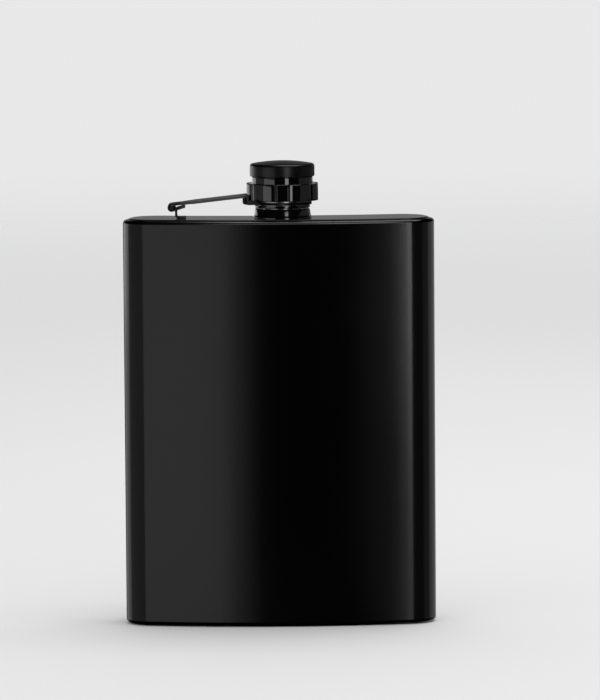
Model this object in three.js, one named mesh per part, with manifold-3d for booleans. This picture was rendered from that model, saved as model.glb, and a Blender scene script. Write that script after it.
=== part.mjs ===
// Hip flask of about 240 ml with a captive screw cap, in millimetres, +Z up.
// The origin is the middle of its footprint on the surface that it stands on.
// -Y is the convex front. The cap's arm is hinged on the -X side of the shoulder.
import * as THREE from "three";
import { mergeVertices } from "three/addons/utils/BufferGeometryUtils.js";
import Module from "manifold-3d";

const wasm = await Module();
wasm.setup();

// Body, a sheet bent round a kidney-shaped plan and closed by two pressed plates.
const bodyHeight = 124.7;
const halfWidth = 47.5;
const thickness = 22;
const frontRadius = 196;
const cornerRadius = 9;
const wall = 0.6;
const rimRadius = 1.1;
const rimLip = 1.6;
const plateRise = 0.4;
const plateThickness = 1.0;
const plateEdge = 0.25;
const fitGap = 0.1;

// Neck and its boss, whose heights are above the shoulder plate.
const neckX = 1.2;
const boreRadius = 5.0;
const neckRadius = 5.9;
const neckTop = 9.7;
const spigotDepth = 1.6;
const neckHoleRadius = 6.05;
const bossGap = 0.08;
const bossRadius = 8.4;
const bossFoot = 8.7;
const bossTop = 2.9;
const bossEdge = 0.25;
const flangeRadius = 8.95;
const flangeTop = 0.9;
const flangeBevel = 0.45;
const threadPitch = 2.0;
const threadTurns = 2.25;
const threadWire = 0.55;
const neckThreadRadius = 5.85;
const neckThreadStart = 4.3;
const runOutRate = 6;

// Hinge of the arm.
const pinX = -32.6;
const pinHeight = 3.45;
const pinRadius = 0.45;
const curlInner = 0.53;
const sheet = 0.7;
const curlWidth = 6.8;
const knuckleGap = 1.5;
const bracketHalfWidth = 1.25;
const footLength = 3.0;
const footBend = 0.7;
const postOffset = 1.35;
const postShoulder = 0.9;
const weldGap = 0.05;
const pinHeadRadius = 0.85;
const pinHead = 0.35;
const pinPlay = 0.15;

// Arm, which widens beyond the hinge and runs to the curved step round the cap and the eye below it.
const armSlope = THREE.MathUtils.degToRad(6.3);
const armHalfWidth = 5.4;
const taperStart = 3;
const taperEnd = 7;
const stepInner = 11.45;
const stepOverlap = 0.2;
const topDrop = 0.05;
const eyeBottom = 4.25;
const eyeOuter = 9.0;
const eyeInner = 7.87;
const eyeProud = 0.03;
const tailLength = 3.8;
const tailSlope = 0.3;
const slotLength = 4.2;
const slotReach = 3;
const slotHeight = 8;

// Cap, whose heights are above the shoulder plate.
const hubRadius = 7.75;
const hubBore = 7.05;
const retainerBottom = 3.2;
const retainerTop = 3.98;
const retainerRadius = 8.45;
const retainerEdge = 0.2;
const gripBottom = 5.45;
const gripTop = 10.65;
const gripRadius = 11.3;
const grooveRadius = 10.2;
const gripEdge = 0.3;
const lobes = 8;
const waistRadius = 9.3;
const waistTop = 12.6;
const waistEdge = 0.15;
const plugHeight = 1.4;
const coverBottom = 12.75;
const coverRadius = 9.9;
const coverSide = 15.8;
const coverTop = 17.5;
const coverWall = 0.9;
const coverEdge = 0.85;
const coverLip = 0.2;
const coreRadius = 8.5;
const coreStep = 9.95;
const coreNarrow = 7.7;
const coreTop = 11.55;
const coreRoof = 0.8;
const coreRoot = 7.5;
const coreThreadStart = 5.6;
const gasketThickness = 0.9;
const gasketRadius = 6.95;
const gasketEdge = 0.15;

const satinBlack = { color: 0x0d0d0e, metalness: 0.3, roughness: 0.38 };
const glossBlack = { color: 0x08080a, metalness: 0.85, roughness: 0.15 };
const steel = { color: 0x9a9a9c, metalness: 1.0, roughness: 0.35 };
const silicone = { color: 0xd8d8d4, metalness: 0.0, roughness: 0.6 };

const backRadius = frontRadius - thickness;
const cornerAngle = Math.asin((halfWidth - cornerRadius) / (frontRadius - cornerRadius));
const hornDepth = (backRadius + cornerRadius) * Math.cos(cornerAngle) - cornerRadius;
const bendY = (frontRadius + hornDepth) / 2;
const neckY = bendY - frontRadius + thickness / 2;
const shoulder = bodyHeight;
const full = 2 * Math.PI;

// Closed geometry to solid, and back.
function solid(geometry) {
  const plain = geometry.clone();
  plain.deleteAttribute("normal");
  plain.deleteAttribute("uv");
  const merged = mergeVertices(plain, 1e-4);
  return new wasm.Manifold(
    new wasm.Mesh({
      numProp: 3,
      vertProperties: new Float32Array(merged.attributes.position.array),
      triVerts: new Uint32Array(merged.index.array),
    }),
  );
}

function geometryOf(body) {
  const mesh = body.getMesh();
  const geometry = new THREE.BufferGeometry();
  geometry.setAttribute("position", new THREE.BufferAttribute(mesh.vertProperties, 3));
  geometry.setIndex(new THREE.BufferAttribute(mesh.triVerts, 1));
  geometry.computeVertexNormals();
  return geometry;
}

// The flask's plan, drawn inwards of its outside by inset.
function plan(inset) {
  const shape = new THREE.Shape();
  const a = cornerAngle;
  const r = cornerRadius - inset;
  const quarter = Math.PI / 2;
  const frontCorner = frontRadius - cornerRadius;
  const backCorner = backRadius + cornerRadius;
  const corner = (side, reach, from) =>
    shape.absarc(side * reach * Math.sin(a), bendY - reach * Math.cos(a), r, from, from + quarter, false);
  shape.absarc(0, bendY, frontRadius - inset, -quarter - a, -quarter + a, false);
  corner(1, frontCorner, a - quarter);
  corner(1, backCorner, a);
  shape.absarc(0, bendY, backRadius + inset, a - quarter, -quarter - a, true);
  corner(-1, backCorner, quarter - a);
  corner(-1, frontCorner, 2 * quarter - a);
  return shape;
}

// A plan extruded from low to high with rounded edges that stay inside it.
function slab(shape, low, high, edge, edgeSteps = 3, curveSegments = 5) {
  const geometry = new THREE.ExtrudeGeometry(shape, {
    depth: high - low - 2 * edge,
    curveSegments,
    bevelEnabled: edge > 0,
    bevelThickness: edge,
    bevelSize: edge,
    bevelOffset: -edge,
    bevelSegments: edgeSteps,
  });
  return solid(geometry.translate(0, 0, low + edge));
}

// A closed profile of [radius, height above the shoulder] turned about the neck's axis.
function turned(profile, segments = 36) {
  const points = profile.map(([r, z]) => new THREE.Vector2(r, z));
  if (profile[0][0] > 0) points.push(points[0].clone());
  const geometry = new THREE.LatheGeometry(points, segments);
  geometry.rotateX(Math.PI / 2);
  geometry.translate(neckX, neckY, shoulder);
  return solid(geometry);
}

// A disc or a bar along Z, for cutting.
function rod(radius, x, y, low, high, segments = 36) {
  const geometry = new THREE.CylinderGeometry(radius, radius, high - low, segments);
  geometry.rotateX(Math.PI / 2);
  return solid(geometry.translate(x, y, (low + high) / 2));
}

// A round thread ridge that runs out into its wall at both ends.
class ThreadLine extends THREE.Curve {
  constructor(radius, start, runOut) {
    super();
    Object.assign(this, { radius, start, runOut });
  }

  getPoint(t, target = new THREE.Vector3()) {
    const turn = t * threadTurns;
    const toEnd = Math.min(turn, threadTurns - turn);
    const sunk = Math.max(0, 1 - toEnd * runOutRate);
    const r = this.radius + this.runOut * sunk;
    const angle = turn * full;
    return target.set(r * Math.cos(angle), r * Math.sin(angle), this.start + turn * threadPitch);
  }
}

function thread(radius, start, runOut) {
  const section = new THREE.Shape().absarc(0, 0, threadWire, 0, full, false);
  const geometry = new THREE.ExtrudeGeometry(section, {
    steps: 40,
    curveSegments: 2,
    bevelEnabled: false,
    extrudePath: new ThreadLine(radius, start, runOut),
  });
  return solid(geometry.translate(neckX, neckY, shoulder));
}

// Sheet metal of the given middle line in X and Z, as wide as width about the neck's plane.
function strip(line, width) {
  const middle = line.getPoints(5).filter((p, i, all) => i === 0 || p.distanceTo(all[i - 1]) > 0.01);
  const face = (side) =>
    middle.map((p, i) => {
      const before = middle[Math.max(i - 1, 0)];
      const after = middle[Math.min(i + 1, middle.length - 1)];
      const into = p.clone().sub(before).normalize();
      const out = after.clone().sub(p).normalize();
      const along = into.add(out).normalize();
      return new THREE.Vector2(p.x - (side * sheet * along.y) / 2, p.y + (side * sheet * along.x) / 2);
    });
  const shape = new THREE.Shape([...face(-1), ...face(1).reverse()]);
  const geometry = new THREE.ExtrudeGeometry(shape, { depth: width, bevelEnabled: false });
  geometry.rotateX(Math.PI / 2);
  return solid(geometry.translate(0, neckY + width / 2, 0));
}

function bodyShell() {
  const low = plateRise;
  const high = bodyHeight - plateRise;
  const cavity = slab(plan(wall), low + wall, high - wall, rimRadius - wall, 2);
  const opening = slab(plan(rimLip), -1, bodyHeight + 1, 0);
  return slab(plan(0), low, high, rimRadius).subtract(cavity).subtract(opening);
}

function plate(low, high) {
  return slab(plan(rimLip + fitGap), low, high, plateEdge, 2);
}

function shoulderPlate() {
  const hole = rod(neckHoleRadius, neckX, neckY, 0, bodyHeight + 1);
  return plate(bodyHeight - plateThickness, bodyHeight).subtract(hole);
}

function neckSpout() {
  const tube = turned([
    [boreRadius, -spigotDepth],
    [neckRadius, -spigotDepth],
    [neckRadius, neckTop - 0.3],
    [neckRadius - 0.25, neckTop],
    [boreRadius + 0.25, neckTop],
    [boreRadius, neckTop - 0.3],
  ]);
  return tube.add(thread(neckThreadRadius, neckThreadStart, -threadWire));
}

function neckCollar() {
  const inner = neckRadius + bossGap;
  return turned([
    [inner, weldGap],
    [flangeRadius, weldGap],
    [flangeRadius, flangeTop - flangeBevel],
    [bossFoot, flangeTop],
    [bossRadius, bossTop - bossEdge],
    [bossRadius - bossEdge, bossTop],
    [inner, bossTop],
  ]);
}

// The bracket's strap is curled round the pin and stands on a foot on the shoulder plate.
function hingeBracket() {
  const reach = curlInner + sheet / 2;
  const pinZ = shoulder + pinHeight;
  const footZ = shoulder + weldGap + sheet / 2;
  const postX = pinX + postOffset;
  const line = new THREE.Path();
  line.absarc(pinX, pinZ, reach, -0.55 * Math.PI, -full, true);
  line.lineTo(postX, pinZ - postShoulder);
  line.lineTo(postX, footZ + footBend);
  line.absarc(postX + footBend, footZ + footBend, footBend, Math.PI, 1.5 * Math.PI, false);
  line.lineTo(postX + footLength, footZ);
  return strip(line, 2 * bracketHalfWidth);
}

function hingePin() {
  const half = curlWidth / 2 + pinPlay;
  const end = half + pinHead;
  const crown = pinHeadRadius - 0.2;
  const profile = [
    [0, -end],
    [crown, -end],
    [pinHeadRadius, -half - pinHead / 2],
    [pinHeadRadius, -half],
    [pinRadius, -half],
    [pinRadius, half],
    [pinHeadRadius, half],
    [pinHeadRadius, half + pinHead / 2],
    [crown, end],
    [0, end],
  ];
  const geometry = new THREE.LatheGeometry(
    profile.map(([r, y]) => new THREE.Vector2(r, y)),
    24,
  );
  return solid(geometry.translate(pinX, neckY, shoulder + pinHeight));
}

// The arm seen from above: as wide as the curl at the hinge, and wider beyond it.
function armPlan() {
  const hinge = curlWidth / 2;
  const wideX = pinX + taperEnd;
  const shape = new THREE.Shape();
  shape.moveTo(pinX - slotReach, neckY - hinge);
  shape.lineTo(pinX + taperStart, neckY - hinge);
  shape.lineTo(wideX, neckY - armHalfWidth);
  shape.lineTo(neckX, neckY - armHalfWidth);
  shape.lineTo(neckX, neckY + armHalfWidth);
  shape.lineTo(wideX, neckY + armHalfWidth);
  shape.lineTo(pinX + taperStart, neckY + hinge);
  shape.lineTo(pinX - slotReach, neckY + hinge);
  return shape;
}

// A slot through the curl and the tail, for the bracket's knuckle.
function knuckleSlot() {
  const plan = new THREE.Shape();
  plan.moveTo(pinX - slotReach, neckY - knuckleGap);
  plan.lineTo(pinX + slotLength, neckY - knuckleGap);
  plan.absarc(pinX + slotLength, neckY, knuckleGap, -Math.PI / 2, Math.PI / 2, false);
  plan.lineTo(pinX - slotReach, neckY + knuckleGap);
  return slab(plan, shoulder, shoulder + slotHeight, 0);
}

// The arm's sheet: a short tail, the curl round the pin, the climb, the curved step and the eye.
function captiveArm() {
  const reach = curlInner + sheet / 2;
  const pinZ = shoulder + pinHeight;
  const under = -Math.PI / 2 + tailSlope;
  const over = Math.PI / 2 + armSlope - full;
  const endX = pinX + reach * Math.cos(over);
  const endZ = pinZ + reach * Math.sin(over);
  const climb = (x) => endZ + (x - endX) * Math.tan(armSlope);
  const tailX = pinX + reach * Math.cos(under) + tailLength;
  const tailZ = pinZ + reach * Math.sin(under) + tailLength * Math.tan(tailSlope);
  const line = new THREE.Path();
  line.moveTo(tailX, tailZ);
  line.absarc(pinX, pinZ, reach, under, over, true);
  line.lineTo(neckX, climb(neckX));

  const low = shoulder + eyeBottom;
  const high = low + sheet;
  const beyond = shoulder + coverTop;
  const topAt = (x) => climb(x) + sheet / (2 * Math.cos(armSlope)) - topDrop;
  const farX = neckX - stepInner - 2 * sheet;
  const side = new THREE.Shape();
  side.moveTo(farX, low);
  side.lineTo(neckX, low);
  side.lineTo(neckX, topAt(neckX));
  side.lineTo(farX, topAt(farX));
  const dish = new THREE.ExtrudeGeometry(side, { depth: 4 * armHalfWidth, bevelEnabled: false });
  dish.rotateX(Math.PI / 2);
  dish.translate(0, neckY + 2 * armHalfWidth, 0);
  const step = solid(dish)
    .intersect(rod(stepInner + sheet, neckX, neckY, shoulder, beyond, 72))
    .subtract(rod(stepInner, neckX, neckY, high, beyond, 72));
  const disc = rod(eyeOuter, neckX, neckY, low - eyeProud, high + eyeProud, 48);
  const hole = rod(eyeInner, neckX, neckY, shoulder, beyond, 48);
  return strip(line, 4 * armHalfWidth)
    .subtract(rod(stepInner + stepOverlap, neckX, neckY, shoulder, beyond, 72))
    .add(step)
    .intersect(slab(armPlan(), shoulder, beyond, 0))
    .add(disc)
    .subtract(hole)
    .subtract(knuckleSlot());
}

// The grip's outline: flat-faced lobes with eased corners, and a groove facing the front.
function gripOutline() {
  const points = [];
  const step = full / lobes;
  const deg = THREE.MathUtils.degToRad(1);
  const flank = [
    [gripRadius, 11.2],
    [gripRadius - 0.2, 12.7],
    [grooveRadius + 0.35, 13.7],
    [grooveRadius, 14.9],
  ];
  for (let k = 0; k < lobes; k++) {
    const middle = -Math.PI / 2 + (k + 0.5) * step;
    const add = (r, angle) => points.push(new THREE.Vector2(r * Math.cos(angle), r * Math.sin(angle)));
    [...flank].reverse().forEach(([r, a]) => add(r, middle - a * deg));
    flank.forEach(([r, a]) => add(r, middle + a * deg));
    add(grooveRadius, middle + step / 2);
  }
  return new THREE.Shape(points);
}

function capGrip() {
  const ring = slab(gripOutline(), gripBottom, gripTop, gripEdge, 2);
  const plug = coverRadius - coverWall - 0.3;
  const waist = turned([
    [0, gripTop - 1],
    [waistRadius, gripTop - 1],
    [waistRadius, waistTop - waistEdge],
    [waistRadius - waistEdge, waistTop],
    [plug, waistTop],
    [plug, waistTop + plugHeight],
    [0, waistTop + plugHeight],
  ]);
  const hollow = turned([
    [0, gripBottom - 1],
    [coreRadius + fitGap, gripBottom - 1],
    [coreRadius + fitGap, coreStep + fitGap],
    [coreNarrow + fitGap, coreStep + fitGap],
    [coreNarrow + fitGap, coreTop + fitGap],
    [0, coreTop + fitGap],
  ]);
  return ring.translate([neckX, neckY, shoulder]).add(waist).subtract(hollow);
}

// Height of a shallow dome between its side and its top.
function crown(r, side, top, reach) {
  return side + (top - side) * Math.sqrt(Math.max(0, 1 - (r / reach) ** 2));
}

function capCover() {
  const corner = coverRadius - coverEdge;
  const inside = coverRadius - coverWall;
  const profile = [
    [inside, coverBottom],
    [coverRadius - coverLip, coverBottom],
    [coverRadius, coverBottom + coverLip],
  ];
  for (let i = 0; i <= 4; i++) {
    const a = (i / 4) * (Math.PI / 2) * 0.8;
    profile.push([corner + coverEdge * Math.cos(a), coverSide + coverEdge * Math.sin(a)]);
  }
  for (let i = 1; i <= 6; i++) {
    const r = corner * (1 - i / 6);
    profile.push([r, crown(r, coverSide + coverEdge, coverTop, coverRadius * 1.02)]);
  }
  const under = [[0, coverTop - coverWall]];
  for (let i = 4; i >= 0; i--) {
    const r = inside * (1 - i / 5);
    under.push([r, crown(r, coverSide - 0.1, coverTop - coverWall, coverRadius)]);
  }
  return turned([...profile, ...under]);
}

// The threaded insert: a cup whose hub passes down through the arm's eye.
function capCore() {
  const seat = coreTop - coreRoof;
  const pocket = gasketRadius + fitGap;
  const flange = eyeBottom + sheet + pinPlay;
  const cup = turned([
    [0, seat],
    [pocket, seat],
    [pocket, neckTop + fitGap],
    [coreRoot, neckTop - 0.5],
    [coreRoot, gripBottom + 0.35],
    [hubBore, gripBottom - 0.1],
    [hubBore, retainerBottom],
    [hubRadius, retainerBottom],
    [hubRadius, flange],
    [coreRadius, flange],
    [coreRadius, coreStep],
    [coreNarrow, coreStep],
    [coreNarrow, coreTop],
    [0, coreTop],
  ]);
  const inside = coreRadius - 0.3;
  const room = turned([
    [0, gripBottom],
    [inside, gripBottom],
    [inside, neckTop],
    [0, neckTop],
  ]);
  return cup.add(thread(hubBore + threadWire, coreThreadStart + threadWire, threadWire).intersect(room));
}

function retainingRing() {
  const inner = hubRadius + weldGap;
  return turned([
    [inner, retainerBottom],
    [retainerRadius - retainerEdge, retainerBottom],
    [retainerRadius, retainerBottom + retainerEdge],
    [retainerRadius, retainerTop - retainerEdge],
    [retainerRadius - retainerEdge, retainerTop],
    [inner, retainerTop],
  ]);
}

function capGasket() {
  const low = coreTop - coreRoof - gasketThickness - 0.02;
  return turned([
    [0, low],
    [gasketRadius - gasketEdge, low],
    [gasketRadius, low + gasketEdge],
    [gasketRadius, low + gasketThickness],
    [0, low + gasketThickness],
  ]);
}

const flask = new THREE.Group();

function add(name, body, finish) {
  const mesh = new THREE.Mesh(geometryOf(body), new THREE.MeshStandardMaterial(finish));
  mesh.name = name;
  flask.add(mesh);
}

add("body_shell", bodyShell(), satinBlack);
add("shoulder_plate", shoulderPlate(), satinBlack);
add("base_plate", plate(0, plateThickness), satinBlack);
add("neck_spout", neckSpout(), steel);
add("neck_collar", neckCollar(), glossBlack);
add("hinge_bracket", hingeBracket(), satinBlack);
add("hinge_pin", hingePin(), steel);
add("captive_arm", captiveArm(), satinBlack);
add("cap_grip", capGrip(), glossBlack);
add("cap_cover", capCover(), glossBlack);
add("cap_core", capCore(), steel);
add("cap_retaining_ring", retainingRing(), glossBlack);
add("cap_gasket", capGasket(), silicone);

export default flask;
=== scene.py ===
"""A satin black hip flask with a captive screw cap, on a pale floor under soft studio light."""

import math

import bmesh
import bpy
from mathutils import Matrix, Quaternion, Vector


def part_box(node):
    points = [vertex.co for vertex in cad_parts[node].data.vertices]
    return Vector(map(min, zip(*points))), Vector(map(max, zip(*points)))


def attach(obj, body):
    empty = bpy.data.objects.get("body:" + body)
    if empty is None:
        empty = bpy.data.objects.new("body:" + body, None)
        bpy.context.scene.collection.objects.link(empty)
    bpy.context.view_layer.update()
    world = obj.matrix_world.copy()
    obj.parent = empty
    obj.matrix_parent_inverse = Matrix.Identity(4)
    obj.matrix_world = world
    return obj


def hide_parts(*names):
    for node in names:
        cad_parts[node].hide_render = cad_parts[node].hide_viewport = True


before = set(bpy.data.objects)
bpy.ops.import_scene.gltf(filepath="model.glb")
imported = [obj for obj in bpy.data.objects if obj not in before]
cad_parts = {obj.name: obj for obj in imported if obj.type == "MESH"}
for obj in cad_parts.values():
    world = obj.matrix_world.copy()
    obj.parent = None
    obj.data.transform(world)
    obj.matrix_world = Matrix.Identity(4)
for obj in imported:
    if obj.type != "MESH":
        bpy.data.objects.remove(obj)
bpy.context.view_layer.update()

MM = 0.001
FULL = 2 * math.pi

# The body's plan: a rounded bar bent to a kidney, with the hollow side at the back.
THICKNESS = 22 * MM
FRONT_RADIUS = 196 * MM
CORNER = 9 * MM
WALL = 0.6 * MM
RIM_RADIUS = 1.1 * MM
RIM_LIP = 1.6 * MM
PLATE_GAP = 0.1 * MM
BEND_RADIUS = FRONT_RADIUS - THICKNESS / 2

# The hinge and the arm, in millimetres. The arm steps down round the cap to an eye below it.
SHEET = 0.7
CURL = 0.53 + SHEET / 2
PIN_RADIUS = 0.45
HINGE_HALF_WIDTH = 3.4
ARM_HALF_WIDTH = 5.4
STEP_INNER = 11.45
STEP_OUTER = STEP_INNER + SHEET
EYE_BOTTOM = 4.25
EYE_OUTER = 9
EYE_INNER = 7.87
LOBES = 8


def middle(node):
    low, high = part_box(node)
    return (low + high) / 2


SHELL_LOW, SHELL_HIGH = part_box("body_shell")
BODY_WIDTH = SHELL_HIGH.x - SHELL_LOW.x
BODY_MIDDLE_Y = SHELL_LOW.y + THICKNESS / 2
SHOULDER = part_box("shoulder_plate")[1].z
NECK = middle("neck_collar")
PIN = middle("hinge_pin")


# Modelling helpers


def begin(add, name, **options):
    """Adds a primitive, names it and leaves it in edit mode, all selected."""
    bpy.ops.object.select_all(action="DESELECT")
    add(**options)
    piece = bpy.context.active_object
    piece.name = name
    piece.data.name = name
    bpy.ops.object.mode_set(mode="EDIT")
    bpy.ops.mesh.select_mode(type="VERT")
    bpy.ops.mesh.select_all(action="SELECT")
    return piece


def pick(kind, test):
    """Selects the vertices, edges or faces in edit mode that pass the test."""
    bpy.ops.mesh.select_all(action="DESELECT")
    bpy.ops.mesh.select_mode(type=kind)
    mesh = bmesh.from_edit_mesh(bpy.context.edit_object.data)
    for item in {"VERT": mesh.verts, "EDGE": mesh.edges, "FACE": mesh.faces}[kind]:
        if test(item):
            item.select_set(True)
    bmesh.update_edit_mesh(bpy.context.edit_object.data)


def span(edge, axis):
    return abs(edge.verts[0].co[axis] - edge.verts[1].co[axis])


def push(x=0.0, y=0.0, z=0.0):
    bpy.ops.mesh.extrude_region_move(TRANSFORM_OT_translate={"value": (x, y, z)})


def begin_point(name, location):
    """Starts a piece as one selected vertex, whose place is in the mesh."""
    piece = begin(bpy.ops.mesh.primitive_plane_add, name, size=MM, location=location)
    bpy.ops.object.mode_set(mode="OBJECT")
    bpy.ops.object.transform_apply(location=True)
    bpy.ops.object.mode_set(mode="EDIT")
    bpy.ops.mesh.select_all(action="SELECT")
    bpy.ops.mesh.merge(type="CENTER")
    return piece


def settle(piece, angle=32):
    """Leaves edit mode with the piece's place in its mesh and its smooth shading set."""
    bpy.ops.object.mode_set(mode="OBJECT")
    bpy.ops.object.select_all(action="DESELECT")
    piece.select_set(True)
    bpy.context.view_layer.objects.active = piece
    bpy.ops.object.transform_apply(location=True, rotation=True, scale=True)
    bpy.ops.object.shade_smooth_by_angle(angle=math.radians(angle))
    return piece


def modify(piece, kind, **settings):
    """Adds a modifier and applies it."""
    bpy.context.view_layer.objects.active = piece
    made = piece.modifiers.new(kind.lower(), kind)
    for key, value in settings.items():
        setattr(made, key, value)
    bpy.ops.object.modifier_apply(modifier=made.name)


def clean():
    """Merges doubled vertices and turns every normal outward."""
    bpy.ops.mesh.select_all(action="SELECT")
    bpy.ops.mesh.remove_doubles(threshold=0.002 * MM)
    bpy.ops.mesh.normals_make_consistent(inside=False)


def draw_profile(name, points, closed):
    """Draws a chain of edges through (radius, height) points, in metres from the neck's axis."""
    radius, height = points[0]
    piece = begin_point(name, (NECK.x + radius, NECK.y, SHOULDER + height))
    for before, after in zip(points, points[1:]):
        push(x=after[0] - before[0], z=after[1] - before[1])
    if closed:
        bpy.ops.mesh.select_all(action="SELECT")
        mesh = bmesh.from_edit_mesh(piece.data)
        ends = [v for v in mesh.verts if len(v.link_edges) < 2]
        bpy.ops.mesh.select_all(action="DESELECT")
        for v in ends:
            v.select_set(True)
        bmesh.update_edit_mesh(piece.data)
        bpy.ops.mesh.edge_face_add()
    return piece


def round_points(spots):
    """Rounds the profile's points near the given (radius, height, size) spots."""
    for radius, height, size in spots:
        here = Vector((NECK.x + radius, NECK.y, SHOULDER + height))
        pick("VERT", lambda v: (v.co - here).length < 0.01 * MM)
        bpy.ops.mesh.bevel(offset=size, segments=4, affect="VERTICES", profile=0.5)


def turned(name, points, rounds=(), steps=112):
    """A profile turned about the neck's axis, in millimetres above the shoulder.

    A profile that starts on the axis also ends there. Any other is closed.
    """
    scaled = [(r * MM, z * MM) for r, z in points]
    piece = draw_profile(name, scaled, closed=points[0][0] > 0)
    round_points([(r * MM, z * MM, size * MM) for r, z, size in rounds])
    bpy.ops.mesh.select_all(action="SELECT")
    bpy.ops.mesh.spin(steps=steps, angle=FULL, center=(NECK.x, NECK.y, 0), axis=(0, 0, 1))
    clean()
    return settle(piece)


# Body


def plan_slab(name, inset, low, high, edge, rings=10, steps=6):
    """A slab of the flask's straight plan, whose upper and lower edges are rounded."""
    reach = math.asin((BODY_WIDTH / 2 - CORNER) / (FRONT_RADIUS - CORNER)) * BEND_RADIUS
    length = 2 * (reach + CORNER - inset)
    depth = THICKNESS - 2 * inset
    piece = begin(bpy.ops.mesh.primitive_plane_add, name, size=1, location=(0, 0, low))
    bpy.ops.transform.resize(value=(length, depth, 1))
    pick("VERT", lambda v: True)
    bpy.ops.mesh.bevel(offset=CORNER - inset, segments=14, affect="VERTICES", profile=0.5)
    pick("EDGE", lambda e: span(e, 0) > 20 * MM)
    bpy.ops.mesh.subdivide(number_cuts=47)
    bpy.ops.mesh.select_all(action="SELECT")
    push(z=high - low)
    if rings:
        pick("EDGE", lambda e: span(e, 2) > (high - low) / 2)
        bpy.ops.mesh.subdivide(number_cuts=rings)
    pick("EDGE", lambda e: sum(abs(f.normal.z) > 0.99 for f in e.link_faces) == 1)
    bpy.ops.mesh.bevel(offset=edge, segments=steps, affect="EDGES", profile=0.5)
    return piece


def bent(piece):
    """Bends the straight piece to the flask's curve and moves it to the body's middle."""
    bpy.ops.object.mode_set(mode="OBJECT")
    bpy.ops.object.select_all(action="DESELECT")
    piece.select_set(True)
    bpy.context.view_layer.objects.active = piece
    bpy.ops.object.transform_apply(location=True)
    xs = [v.co.x for v in piece.data.vertices]
    modify(
        piece,
        "SIMPLE_DEFORM",
        deform_method="BEND",
        deform_axis="Z",
        angle=(max(xs) - min(xs)) / BEND_RADIUS,
    )
    piece.location.y = BODY_MIDDLE_Y
    settle(piece)
    modify(piece, "WEIGHTED_NORMAL", weight=100, keep_sharp=True)
    return piece


def body_shell():
    piece = plan_slab("body_sheet", 0.0, SHELL_LOW.z, SHELL_HIGH.z, RIM_RADIUS)
    pick("FACE", lambda f: abs(f.normal.z) > 0.9999)
    bpy.ops.mesh.inset(thickness=RIM_LIP - RIM_RADIUS, depth=0)
    bpy.ops.mesh.delete(type="FACE")
    bpy.ops.object.mode_set(mode="OBJECT")
    modify(piece, "SOLIDIFY", thickness=WALL, offset=-1, use_even_offset=True)
    return bent(piece)


def pressed_plate(name, node):
    low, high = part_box(node)
    piece = plan_slab(name, RIM_LIP + PLATE_GAP, low.z, high.z, 0.25 * MM, rings=0, steps=4)
    return bent(piece)


# Neck, in millimetres above the shoulder


def neck_collar():
    return turned(
        "neck_boss",
        [(5.98, 0.05), (8.95, 0.05), (8.95, 0.45), (8.7, 0.9), (8.4, 2.9), (5.98, 2.9)],
        rounds=[(8.95, 0.45, 0.12), (8.7, 0.9, 0.12), (8.4, 2.9, 0.25), (5.98, 2.9, 0.15)],
    )


def neck_spout():
    return turned(
        "neck_tube",
        [(5.0, -1.6), (5.9, -1.6), (5.9, 9.7), (5.0, 9.7)],
        rounds=[(5.9, 9.7, 0.28), (5.0, 9.7, 0.28)],
    )


def thread_ridge(name, foot, tip, start):
    """A thread of trapezoid section between two radii, thicker at its foot than at its tip."""
    turns, pitch = 2.25, 2.0
    root_half, crest_half = 0.62, 0.22
    middle_radius = (foot + tip) / 2 * MM
    piece = begin(
        bpy.ops.mesh.primitive_plane_add,
        name,
        size=1,
        location=(middle_radius, 0, 0),
        rotation=(math.pi / 2, 0, 0),
    )
    bpy.ops.transform.resize(value=(abs(tip - foot) * MM, 1, 2 * root_half * MM))
    settle(piece)
    bpy.ops.object.mode_set(mode="EDIT")
    outward = 1 if tip > foot else -1
    pick("VERT", lambda v: outward * (v.co.x - middle_radius) > 0)
    bpy.ops.transform.resize(value=(1, 1, crest_half / root_half))
    pick("FACE", lambda f: True)
    bpy.ops.mesh.delete(type="ONLY_FACE")
    bpy.ops.object.mode_set(mode="OBJECT")
    modify(
        piece,
        "SCREW",
        axis="Z",
        angle=FULL * turns,
        screw_offset=pitch * turns * MM,
        steps=round(72 * turns),
        render_steps=round(72 * turns),
        use_merge_vertices=False,
    )
    bpy.ops.object.mode_set(mode="EDIT")
    pick("EDGE", lambda e: len(e.link_faces) == 1)
    bpy.ops.mesh.fill_holes(sides=0)
    clean()
    piece.location = (NECK.x, NECK.y, SHOULDER + start * MM)
    return settle(piece, 50)


# Sheet-metal strips, in millimetres from the hinge pin


def arc(x, z, radius, start, end, count):
    """Points along an arc about (x, z), angles in degrees."""
    angles = [math.radians(start + (end - start) * i / count) for i in range(count + 1)]
    return [(x + radius * math.cos(a), z + radius * math.sin(a)) for a in angles]


def strip(name, path, width):
    """Sheet metal bent along a path of (x, z) points from the pin."""
    x, z = path[0]
    piece = begin_point(name, (PIN.x + x * MM, NECK.y - width * MM / 2, PIN.z + z * MM))
    for before, after in zip(path, path[1:]):
        push(x=(after[0] - before[0]) * MM, z=(after[1] - before[1]) * MM)
    bpy.ops.mesh.select_all(action="SELECT")
    push(y=width * MM)
    clean()
    bpy.ops.object.mode_set(mode="OBJECT")
    modify(piece, "SOLIDIFY", thickness=SHEET * MM, offset=0, use_even_offset=True)
    bpy.ops.object.mode_set(mode="EDIT")
    clean()
    bpy.ops.object.mode_set(mode="OBJECT")
    return piece


def drum(name, radius, low, high):
    """A cylinder about the neck's axis, its radius in millimetres and its heights in metres."""
    piece = begin(
        bpy.ops.mesh.primitive_cylinder_add,
        name,
        vertices=192,
        radius=radius * MM,
        depth=high - low,
        location=(NECK.x, NECK.y, (low + high) / 2),
    )
    return settle(piece)


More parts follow.
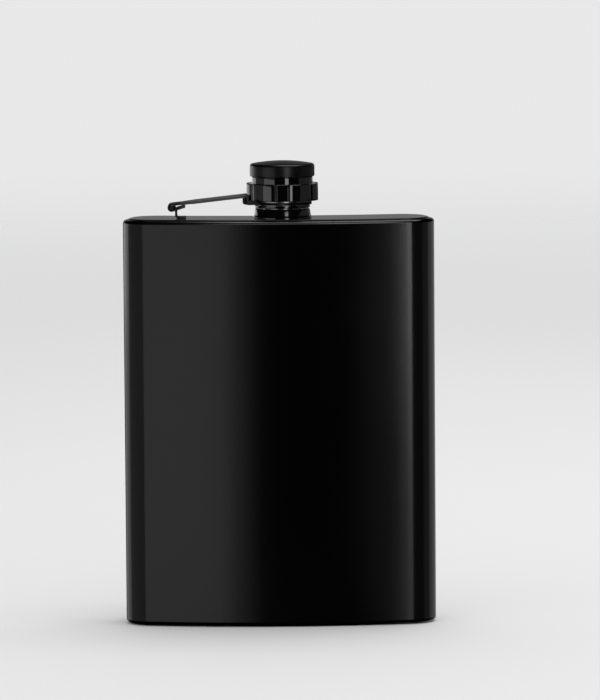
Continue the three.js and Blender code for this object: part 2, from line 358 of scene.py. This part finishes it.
def combine(piece, other, operation):
    """Joins, cuts or crosses the piece with the other, which is used up."""
    modify(piece, "BOOLEAN", object=other, operation=operation, solver="EXACT")
    bpy.data.objects.remove(other)


def eased(piece, width):
    """Breaks the piece's sharp edges by a width in millimetres."""
    modify(
        piece,
        "BEVEL",
        width=width * MM,
        segments=3,
        limit_method="ANGLE",
        angle_limit=math.radians(45),
        use_clamp_overlap=True,
    )
    return settle(piece, 40)


def hinge_bracket():
    """A strap curled under and round the pin, down a post and out to a foot on the shoulder."""
    width, weld_gap = 2.5, 0.05
    foot = (SHOULDER - PIN.z) / MM + weld_gap + SHEET / 2
    post, post_top, bend, foot_length = 1.35, -0.9, 0.7, 3.0
    path = arc(0, 0, CURL, -99, -360, 30)
    path.append((post, post_top))
    path += arc(post + bend, foot + bend, bend, 180, 270, 8)
    path.append((post + foot_length, foot))
    return eased(strip("bracket_strap", path, width), 0.08)


def arm_blank(name, low, high, slope=0.0):
    """The arm's plan as a block: narrow at the hinge and wider beyond. Its top may slope."""
    level_x = NECK.x - STEP_OUTER * MM
    spots = [
        (PIN.x - 3 * MM, HINGE_HALF_WIDTH),
        (PIN.x + 3 * MM, HINGE_HALF_WIDTH),
        (PIN.x + 7 * MM, ARM_HALF_WIDTH),
        (NECK.x, ARM_HALF_WIDTH),
    ]
    piece = begin_point(name, (0, NECK.y, low))
    outline = [(x, NECK.y - half * MM) for x, half in spots]
    outline += [(x, NECK.y + half * MM) for x, half in reversed(spots)]
    before = (0.0, NECK.y)
    for here in outline:
        push(x=here[0] - before[0], y=here[1] - before[1])
        before = here
    pick("VERT", lambda v: abs(v.co.x) < 1e-7)
    bpy.ops.mesh.delete(type="VERT")
    bpy.ops.mesh.select_all(action="SELECT")
    bpy.ops.mesh.edge_face_add()
    push(z=high - low)
    for x, _ in spots:
        pick("VERT", lambda v: v.co.z > SHOULDER + MM and abs(v.co.x - x) < 0.1 * MM)
        bpy.ops.transform.translate(value=(0, 0, slope * (x - level_x)))
    clean()
    return settle(piece)


def knuckle_slot():
    """A block with a rounded end, which cuts the gap for the bracket's knuckle."""
    length, width, height = 8.7 * MM, 3.0 * MM, 10 * MM
    slot = begin(bpy.ops.mesh.primitive_plane_add, "slot", size=1, location=(0, 0, 0))
    bpy.ops.transform.resize(value=(length, width, 1))
    pick("VERT", lambda v: v.co.x > 0)
    bpy.ops.mesh.bevel(offset=1.45 * MM, segments=12, affect="VERTICES", profile=0.5)
    bpy.ops.mesh.select_all(action="SELECT")
    push(z=height)
    clean()
    slot.location = (PIN.x + 1.35 * MM, NECK.y, PIN.z - 4 * MM)
    return settle(slot)


def captive_arm():
    """A sheet strip: a short tail, the curl round the pin, the climb, the step down and the eye."""
    slope, tail, tail_slope = math.radians(6.3), 3.8, 0.3
    floor, ledge = EYE_BOTTOM, EYE_BOTTOM + SHEET
    low, high = floor * MM + SHOULDER, ledge * MM + SHOULDER
    beyond = SHOULDER + 20 * MM
    under = math.degrees(tail_slope) - 90
    over = 90 + math.degrees(slope) - 360
    curl = arc(0, 0, CURL, under, over, 36)
    start, end = curl[0], curl[-1]
    far = (NECK.x - PIN.x) / MM

    def climb(x):
        return end[1] + (x - end[0]) * math.tan(slope)

    path = [(start[0] + tail, start[1] + tail * math.tan(tail_slope))] + curl
    path.append((far, climb(far)))
    piece = strip("arm_strip", path, 20)
    combine(piece, drum("inside", STEP_INNER + 0.2, SHOULDER - MM, beyond), "DIFFERENCE")
    combine(piece, arm_blank("outline", SHOULDER - MM, beyond), "INTERSECT")

    top_drop = 0.04
    wall_top = PIN.z + (climb(far - STEP_OUTER) + SHEET / 2 - top_drop) * MM
    inside, above = 8.0, 12.0
    profile = [
        (inside, floor),
        (STEP_OUTER, floor),
        (STEP_OUTER, above),
        (STEP_INNER, above),
        (STEP_INNER, ledge),
        (inside, ledge),
    ]
    rounds = [(STEP_OUTER, floor, 0.5), (STEP_INNER, ledge, 0.25)]
    step = turned("arm_step", profile, rounds=rounds, steps=192)
    combine(step, arm_blank("under", SHOULDER, wall_top, math.tan(slope)), "INTERSECT")
    combine(piece, step, "UNION")
    eye_proud = 0.03 * MM
    combine(piece, drum("eye", EYE_OUTER, low - eye_proud, high + eye_proud), "UNION")
    combine(piece, drum("hole", EYE_INNER, low - MM, high + MM), "DIFFERENCE")
    combine(piece, knuckle_slot(), "DIFFERENCE")
    return eased(piece, 0.1)


def hinge_pin():
    """A rod whose two ends are peened to low round heads."""
    half, head_radius = HINGE_HALF_WIDTH + 0.15, 0.85
    piece = begin(
        bpy.ops.mesh.primitive_cylinder_add,
        "pin_rod",
        vertices=64,
        radius=PIN_RADIUS * MM,
        depth=2 * half * MM,
        location=(PIN.x, PIN.y, PIN.z),
        rotation=(math.pi / 2, 0, 0),
    )
    settle(piece)
    bpy.ops.object.mode_set(mode="EDIT")
    grow = head_radius / PIN_RADIUS
    for side in (-1, 1):
        edge = PIN.y + side * half * MM
        pick("FACE", lambda f: abs(f.calc_center_median().y - edge) < 0.01 * MM)
        bpy.ops.mesh.extrude_region_move()
        bpy.ops.transform.resize(value=(grow, 1, grow))
        push(y=side * 0.16 * MM)
        push(y=side * 0.12 * MM)
        bpy.ops.transform.resize(value=(0.86, 1, 0.86))
        push(y=side * 0.07 * MM)
        bpy.ops.transform.resize(value=(0.6, 1, 0.6))
        bpy.ops.mesh.inset(thickness=0.2 * MM)
    clean()
    return settle(piece, 50)


# Cap, in millimetres above the shoulder


def cap_grip():
    """The ring of lobes: a circle drawn in at the grooves, raised, eased and hollowed from below."""
    per_lobe, outer, groove, arch = 64, 11.3, 10.2, 7.2
    flank_start, flank_width = 9.4, 2.1
    height, recess = 5.2, 4.4
    piece = begin(
        bpy.ops.mesh.primitive_circle_add,
        "grip_ring",
        vertices=LOBES * per_lobe,
        radius=outer * MM,
        fill_type="NGON",
        location=(0, 0, 0),
    )
    pitch = 360 / LOBES

    def off_groove(v):
        angle = math.degrees(math.atan2(v.co.x, -v.co.y)) % pitch
        return min(angle, pitch - angle)

    def reach(angle):
        """The outline's radius at an angle from a groove's middle: floor, flank and arched lobe."""
        across = math.radians(pitch / 2 - angle)
        centre = outer - 0.02 - arch
        lobe = centre * math.cos(across) + math.sqrt(arch**2 - (centre * math.sin(across)) ** 2)
        floor = groove / math.cos(math.radians(angle)) - 0.03
        rise = min(max((angle - flank_start) / flank_width, 0), 1)
        rise = rise * rise * (3 - 2 * rise)
        return floor + (lobe - floor) * rise

    for step in range(per_lobe // 2 + 1):
        angle = step * pitch / per_lobe
        k = reach(angle) / outer
        pick("VERT", lambda v: abs(off_groove(v) - angle) < 0.05)
        bpy.ops.transform.resize(value=(k, k, 1), center_override=(0, 0, 0))
    pick("FACE", lambda f: True)
    push(z=height * MM)
    pick("EDGE", lambda e: span(e, 2) < 1e-7)
    bpy.ops.mesh.bevel(offset=0.25 * MM, segments=4, affect="EDGES", profile=0.5)
    pick("FACE", lambda f: f.normal.z < -0.99)
    bpy.ops.mesh.extrude_region_move()
    bpy.ops.transform.resize(value=(0.86, 0.86, 1), center_override=(0, 0, 0))
    push(z=recess * MM)
    clean()
    piece.location = (NECK.x, NECK.y, SHOULDER + 5.45 * MM)
    return settle(piece, 38)


def cap_waist():
    return turned(
        "grip_waist",
        [(7.8, 10.3), (9.3, 10.3), (9.3, 12.6), (8.7, 12.6), (8.7, 13.95), (7.8, 13.95)],
        rounds=[(9.3, 12.6, 0.15)],
    )


def cap_cover():
    bottom, side, top, crown = 12.75, 15.82, 17.5, 100.3
    reach = 9.9
    sheet, shoulder, chamfer = 0.9, 0.85, 0.22
    radii = [9.1 * i / 14 for i in range(15)]
    dome = [(r, top - r**2 / crown) for r in radii]
    corner = arc(reach - shoulder, side, shoulder, 79, 0, 8)
    under = [(r * 0.97, z - sheet) for r, z in reversed(dome[1:])]
    points = dome + corner
    points += [(reach, bottom + chamfer), (reach - chamfer, bottom), (9.0, bottom)]
    points += under + [(0.0, top - sheet)]
    rounds = [(reach - chamfer, bottom, 0.06), (reach, bottom + chamfer, 0.06)]
    return turned("cover_dome", points, rounds=rounds)


def cap_core():
    return turned(
        "core_cup",
        [
            (0.0, 11.55), (7.7, 11.55), (7.7, 9.95), (8.5, 9.95), (8.5, 5.2), (7.75, 5.2),
            (7.75, 3.2), (7.05, 3.2), (7.05, 5.35), (7.5, 5.8), (7.5, 9.2), (7.05, 9.8),
            (7.05, 10.75), (0.0, 10.75),
        ],
        rounds=[(7.05, 3.2, 0.2)],
    )


def retaining_ring():
    return turned(
        "swaged_ring",
        [(7.8, 3.2), (8.45, 3.2), (8.45, 3.98), (7.8, 3.98)],
        rounds=[(8.45, 3.2, 0.2), (8.45, 3.98, 0.2)],
    )


def cap_gasket():
    """A disc with a shallow ring pressed into its underside by the spout."""
    low, high, radius = 9.83, 10.73, 6.95
    pressed = low + 0.07
    points = [(0.0, low), (5.0, low), (5.3, pressed), (5.9, pressed), (6.2, low), (radius, low)]
    points += [(radius, high), (0.0, high)]
    return turned("gasket_disc", points, rounds=[(radius, low, 0.2)])


# Finishes


class Value:
    """A shader value that can be used in sums."""

    def __init__(self, finish, socket):
        self.finish = finish
        self.socket = socket

    def math(self, operation, other):
        made = self.finish.add("ShaderNodeMath", {"operation": operation}, {0: self, 1: other})
        return Value(self.finish, made.outputs[0])

    def __add__(self, other):
        return self.math("ADD", other)

    def __mul__(self, other):
        return self.math("MULTIPLY", other)

    def __pow__(self, other):
        return self.math("POWER", other)

    __radd__ = __add__
    __rmul__ = __mul__

    def between(self, low, high):
        """0 at low, 1 at high, and smooth in between."""
        ends = {"Value": self, "From Min": low, "From Max": high}
        made = self.finish.add("ShaderNodeMapRange", {"interpolation_type": "SMOOTHSTEP"}, ends)
        return Value(self.finish, made.outputs["Result"])


class Finish:
    """A material whose nodes are added one call at a time."""

    def __init__(self, name, **constants):
        self.material = bpy.data.materials.new(name)
        self.material.use_nodes = True
        self.tree = self.material.node_tree
        self.tree.nodes.clear()
        self.shader = self.add("ShaderNodeBsdfPrincipled", None, constants)
        self.output = self.add("ShaderNodeOutputMaterial")
        self.tree.links.new(self.shader.outputs[0], self.output.inputs["Surface"])
        self.place = self.add("ShaderNodeTexCoord").outputs["Object"]

    def add(self, kind, settings=None, inputs=None):
        node = self.tree.nodes.new(kind)
        for key, value in (settings or {}).items():
            setattr(node, key, value)
        for key, value in (inputs or {}).items():
            self.feed(node.inputs[key], value)
        return node

    def feed(self, socket, value):
        if isinstance(value, Value):
            self.tree.links.new(value.socket, socket)
        elif isinstance(value, bpy.types.NodeSocket):
            self.tree.links.new(value, socket)
        else:
            socket.default_value = value

    def noise(self, scale, detail, rough, stretch=(1, 1, 1)):
        """Noise over the piece. Scale times stretch is in cycles per metre along each axis."""
        scaled = self.add("ShaderNodeMapping", None, {"Vector": self.place, "Scale": stretch})
        inputs = {"Vector": scaled.outputs[0], "Scale": scale, "Detail": detail, "Roughness": rough}
        return Value(self, self.add("ShaderNodeTexNoise", None, inputs).outputs[0])

    def cells(self, scale):
        """The distance to the middle of the nearest of many small cells."""
        made = self.add("ShaderNodeTexVoronoi", None, {"Vector": self.place, "Scale": scale})
        return Value(self, made.outputs["Distance"])

    def along(self, axis):
        """The distance along an axis, in metres."""
        split = self.add("ShaderNodeSeparateXYZ", None, {0: self.place})
        return Value(self, split.outputs[axis])

    def blend(self, factor, first, second):
        """A colour between two greys or colours."""
        made = self.add("ShaderNodeMix", {"data_type": "RGBA"}, {0: factor, 6: first, 7: second})
        return made.outputs[2]

    def colour(self, socket):
        self.feed(self.shader.inputs["Base Color"], socket)

    def roughness(self, value):
        self.feed(self.shader.inputs["Roughness"], value)

    def relief(self, height, strength, depth):
        """Fine relief, depth in millimetres at a height of one."""
        inputs = {"Height": height, "Strength": strength, "Distance": depth * MM}
        self.feed(self.shader.inputs["Normal"], self.add("ShaderNodeBump", None, inputs).outputs[0])


def grey(level, warm=0.0):
    return (level * (1 + warm), level, level * (1 - warm), 1.0)


def black_paint():
    """Satin black lacquer: a fine orange peel, faint handling smudges and a few hairline rubs."""
    finish = Finish("satin_black_lacquer", IOR=1.5, Metallic=0.0)
    peel = finish.noise(950, 2.0, 0.45)
    grain = finish.noise(5200, 1.0, 0.5)
    smudge = finish.noise(21, 3.0, 0.6, stretch=(1, 1, 0.55)).between(0.42, 0.72)
    hair = finish.noise(260, 3.0, 0.7, stretch=(6, 6, 0.18)).between(0.66, 0.74)
    finish.colour(finish.blend(peel * 0.5 + smudge * 0.4, grey(0.0004), grey(0.0009)))
    finish.roughness(smudge * 0.03 + hair * 0.03 + grain * 0.02 + 0.14)
    finish.relief(peel + grain * 0.25, 0.16, 0.035)
    return finish.material


def gloss_black(name, rough, turning, ior=1.85):
    """Black plating over turned metal: faint rings round the axis, small scuffs and specks."""
    finish = Finish(name, Metallic=0.0, IOR=ior)
    rings = finish.noise(1.0, 2.0, 0.6, stretch=(60, 60, 9000))
    scuff = finish.noise(340, 3.0, 0.65).between(0.55, 0.75)
    dust = finish.cells(2100).between(0.16, 0.03)
    finish.colour(finish.blend(scuff * 0.5 + dust * 0.3, grey(0.0015), grey(0.004)))
    finish.roughness(scuff * 0.04 + rings * turning + dust * 0.05 + rough)
    finish.relief(rings * turning * 8 + scuff * 0.2, 0.12, 0.008)
    return finish.material


def satin_strap():
    """Satin lacquer over brushed sheet, with a paler grey painted along the arm's climb to the cap
    as a painted sheen for the light the strip catches.
    """
    finish = Finish("satin_black_strap", Metallic=0.0, IOR=1.6)
    across = finish.along(0)
    hinge_end = across.between(PIN.x + 2.0 * MM, PIN.x + 3.4 * MM)
    cap_end = across.between(NECK.x - 11.1 * MM, NECK.x - 11.7 * MM)
    # The climb mask places the painted sheen below; it also raises the roughness there.
    climb = hinge_end * cap_end
    brush = finish.noise(1.0, 3.0, 0.6, stretch=(220, 5200, 5200))
    wear = finish.noise(620, 3.0, 0.6).between(0.55, 0.85)
    black = finish.blend(wear * 0.6 + brush * 0.3, grey(0.003), grey(0.008))
    # Painted sheen: a paler grey over the climb that stands in for light caught by the strip,
    # mottled by the wear and brush noise.
    painted_sheen = finish.blend(wear * 0.6 + brush * 0.3, grey(0.05), grey(0.075))
    finish.colour(finish.blend(climb, black, painted_sheen))
    finish.roughness(brush * 0.1 + wear * 0.04 + climb * 0.12 + 0.24)
    finish.relief(brush, 0.2, 0.012)
    return finish.material


def turned_steel():
    """Machined stainless steel with fine rings round its axis."""
    finish = Finish("machined_steel", Metallic=1.0)
    rings = finish.noise(1.0, 3.0, 0.7, stretch=(40, 40, 14000))
    stain = finish.noise(420, 3.0, 0.6).between(0.45, 0.8)
    finish.colour(finish.blend(stain * 0.7, grey(0.56, 0.01), grey(0.44, 0.03)))
    finish.roughness(rings * 0.16 + stain * 0.08 + 0.18)
    finish.relief(rings, 0.25, 0.012)
    return finish.material


def silicone():
    """An off-white seal, slightly mottled and flecked."""
    finish = Finish("silicone", IOR=1.42)
    mottle = finish.noise(900, 3.0, 0.6)
    fleck = finish.cells(2600).between(0.2, 0.05)
    pale, dark = (0.66, 0.65, 0.62, 1), (0.52, 0.51, 0.47, 1)
    finish.colour(finish.blend(mottle * 0.8 + fleck * 0.2, pale, dark))
    finish.roughness(mottle * 0.1 + 0.5)
    finish.relief(mottle, 0.2, 0.03)
    return finish.material


# The object


PAINT = black_paint()
PLATING = gloss_black("gloss_black_plating", 0.05, 0.04)
COLLAR = gloss_black("gloss_black_collar", 0.08, 0.05)
COVER = gloss_black("satin_black_cover", 0.3, 0.05, 1.5)
STRAP = satin_strap()
STEEL = turned_steel()
SEAL = silicone()

flask_pieces, cap_pieces, strap_pieces = [], [], []


def enter(piece, node, body, finish):
    """Gives a piece its finish and body, hides the CAD part it stands for, and puts it in its group
    for the lights.
    """
    piece.data.materials.clear()
    piece.data.materials.append(finish)
    group = {PAINT: flask_pieces, STRAP: strap_pieces}.get(finish, cap_pieces)
    group.append(piece)
    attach(piece, body)
    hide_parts(node)


enter(body_shell(), "body_shell", "flask", PAINT)
for name, node in [("shoulder_pressing", "shoulder_plate"), ("base_pressing", "base_plate")]:
    enter(pressed_plate(name, node), node, "flask", PAINT)
enter(neck_collar(), "neck_collar", "flask", COLLAR)
enter(neck_spout(), "neck_spout", "flask", STEEL)
enter(thread_ridge("neck_thread", 5.8, 6.4, 4.3), "neck_spout", "flask", STEEL)
enter(hinge_bracket(), "hinge_bracket", "flask", STRAP)
enter(hinge_pin(), "hinge_pin", "flask", STRAP)
enter(captive_arm(), "captive_arm", "arm", STRAP)
enter(cap_grip(), "cap_grip", "cap", PLATING)
enter(cap_waist(), "cap_grip", "cap", PLATING)
enter(cap_cover(), "cap_cover", "cap", COVER)
enter(cap_core(), "cap_core", "cap", STEEL)
enter(thread_ridge("core_thread", 7.6, 7.05, 6.3), "cap_core", "cap", STEEL)
enter(retaining_ring(), "cap_retaining_ring", "cap", PLATING)
enter(cap_gasket(), "cap_gasket", "cap", SEAL)


# Stage


def pale_floor():
    """A pale matte floor that fades away with distance from the flask."""
    fade_start, fade_end = 0.6, 2.4
    bpy.ops.mesh.primitive_plane_add(size=16, location=(0, 0, 0))
    floor = bpy.context.active_object
    floor.name = "floor"
    finish = Finish("pale_floor", IOR=1.3)
    mottle = finish.noise(2.0, 2.0, 0.5)
    finish.colour(finish.blend(mottle, grey(0.74), grey(0.78)))
    finish.roughness(mottle * 0.1 + 0.75)
    distance = (finish.along(0) ** 2 + finish.along(1) ** 2) ** 0.5
    clear = finish.add("ShaderNodeBsdfTransparent")
    factor = distance.between(fade_start, fade_end)
    fade = {0: factor, 1: finish.shader.outputs[0], 2: clear.outputs[0]}
    mixed = finish.add("ShaderNodeMixShader", None, fade)
    finish.feed(finish.output.inputs["Surface"], mixed.outputs[0])
    floor.data.materials.append(finish.material)
    floor.visible_glossy = False
    floor.visible_shadow = False


def area_light(name, width, height, radiance, location, rotation):
    bpy.ops.object.light_add(type="AREA", location=location, rotation=rotation)
    light = bpy.context.active_object
    light.name = name
    light.data.shape = "RECTANGLE"
    light.data.size = width
    light.data.size_y = height
    light.data.energy = 4 * width * height * radiance
    light.visible_camera = False
    return light


def softbox(name, azimuths, distance, heights, radiance, lit):
    """An upright light that faces the flask and fills a range of azimuths and of heights.

    Azimuths are in degrees from the front towards the right. It lights only the lit pieces, or
    everything when there are none.
    """
    start, end = azimuths
    low, high = heights
    turn = math.radians((start + end) / 2)
    width = 2 * distance * math.tan(math.radians((end - start) / 2))
    spot = (distance * math.sin(turn), -distance * math.cos(turn), (low + high) / 2)
    light = area_light(name, width, high - low, radiance, spot, (math.pi / 2, 0, turn))
    if lit:
        receivers = bpy.data.collections.new(name + "_lights")
        for piece in lit:
            receivers.objects.link(piece)
        light.light_linking.receiver_collection = receivers


pale_floor()
for row in [
    ("key_left", (-42, -10), 1.2, (-0.24, 0.17), 0.53, flask_pieces),
    ("key_left_edge", (-10, -6), 1.2, (-0.24, 0.17), 0.2, flask_pieces),
    ("side_left", (-104, -44), 1.1, (-0.35, 0.17), 0.2, flask_pieces),
    ("back_left_high", (-150, -106), 1.1, (0.0, 0.17), 1.0, flask_pieces),
    ("back_left_low", (-150, -106), 1.1, (-0.3, 0.0), 0.5, flask_pieces),
    ("wash_right", (17, 21), 1.2, (-0.16, 0.17), 0.08, flask_pieces),
    ("line_right_high", (26.2, 29.2), 1.2, (-0.04, 0.45), 3.6, flask_pieces),
    ("line_right_low", (25.8, 29), 1.2, (-0.3, -0.04), 1.1, flask_pieces),
    ("fill_right", (31, 72), 1.1, (-0.3, 0.17), 0.04, flask_pieces),
    ("side_right", (72, 100), 1.1, (-0.3, 0.17), 0.12, flask_pieces),
    ("back_right", (100, 150), 1.1, (-0.3, 0.17), 0.33, flask_pieces),
    ("back", (145, 215), 2.8, (0.0, 1.1), 0.2, None),
    ("back_wash", (150, 176), 1.2, (-0.7, 0.05), 0.4, flask_pieces),
    ("rim_left", (-16, 8), 1.2, (0.45, 1.3), 1.0, flask_pieces),
    ("rim_right", (9, 26), 1.2, (0.45, 1.3), 2.4, flask_pieces),
    ("cap_back_left", (-172, -119), 1.1, (-0.3, 0.25), 0.9, cap_pieces),
    ("cap_side_left", (-122, -72), 1.1, (-0.3, 0.25), 0.12, cap_pieces),
    ("cap_left", (-72, -29), 1.1, (-0.3, 0.25), 0.55, cap_pieces),
    ("cap_strip", (11, 24), 1.2, (-0.3, 0.6), 1.6, cap_pieces),
    ("cap_right", (66, 150), 1.1, (-0.3, 0.45), 0.08, cap_pieces),
    ("strap_front", (-14, 14), 1.2, (-0.3, 0.2), 0.4, strap_pieces),
]:
    softbox(*row)
area_light("overhead", 0.9, 0.9, 2.2, (0.3, 0.1, 1.3), (0, 0, 0))

world = bpy.data.worlds.new("studio")
bpy.context.scene.world = world
world.use_nodes = True
background = world.node_tree.nodes["Background"]
background.inputs["Color"].default_value = (0.9, 0.9, 0.91, 1)
background.inputs["Strength"].default_value = 0.9
world.cycles_visibility.glossy = False
bpy.context.scene.view_settings.view_transform = "Standard"


# Camera


def aim_camera():
    """A long lens at the front, a little above the flask, aimed off its middle."""
    elevation, roll = math.radians(6.0), math.radians(-0.4)
    distance = 1.8
    centre = Vector((0, 0, SHOULDER / 2))
    spot = centre + Vector((0, -math.cos(elevation), math.sin(elevation))) * distance
    target = centre + Vector((6.3 * MM, 0, 21.5 * MM))
    bpy.ops.object.camera_add(location=spot)
    camera = bpy.context.active_object
    camera.name = "camera"
    camera.data.lens = 301.6
    camera.data.sensor_width = 36
    camera.data.clip_end = 60
    camera.rotation_mode = "QUATERNION"
    facing = (target - spot).to_track_quat("-Z", "Y")
    camera.rotation_quaternion = facing @ Quaternion((0, 0, 1), roll)
    bpy.context.scene.camera = camera


aim_camera()
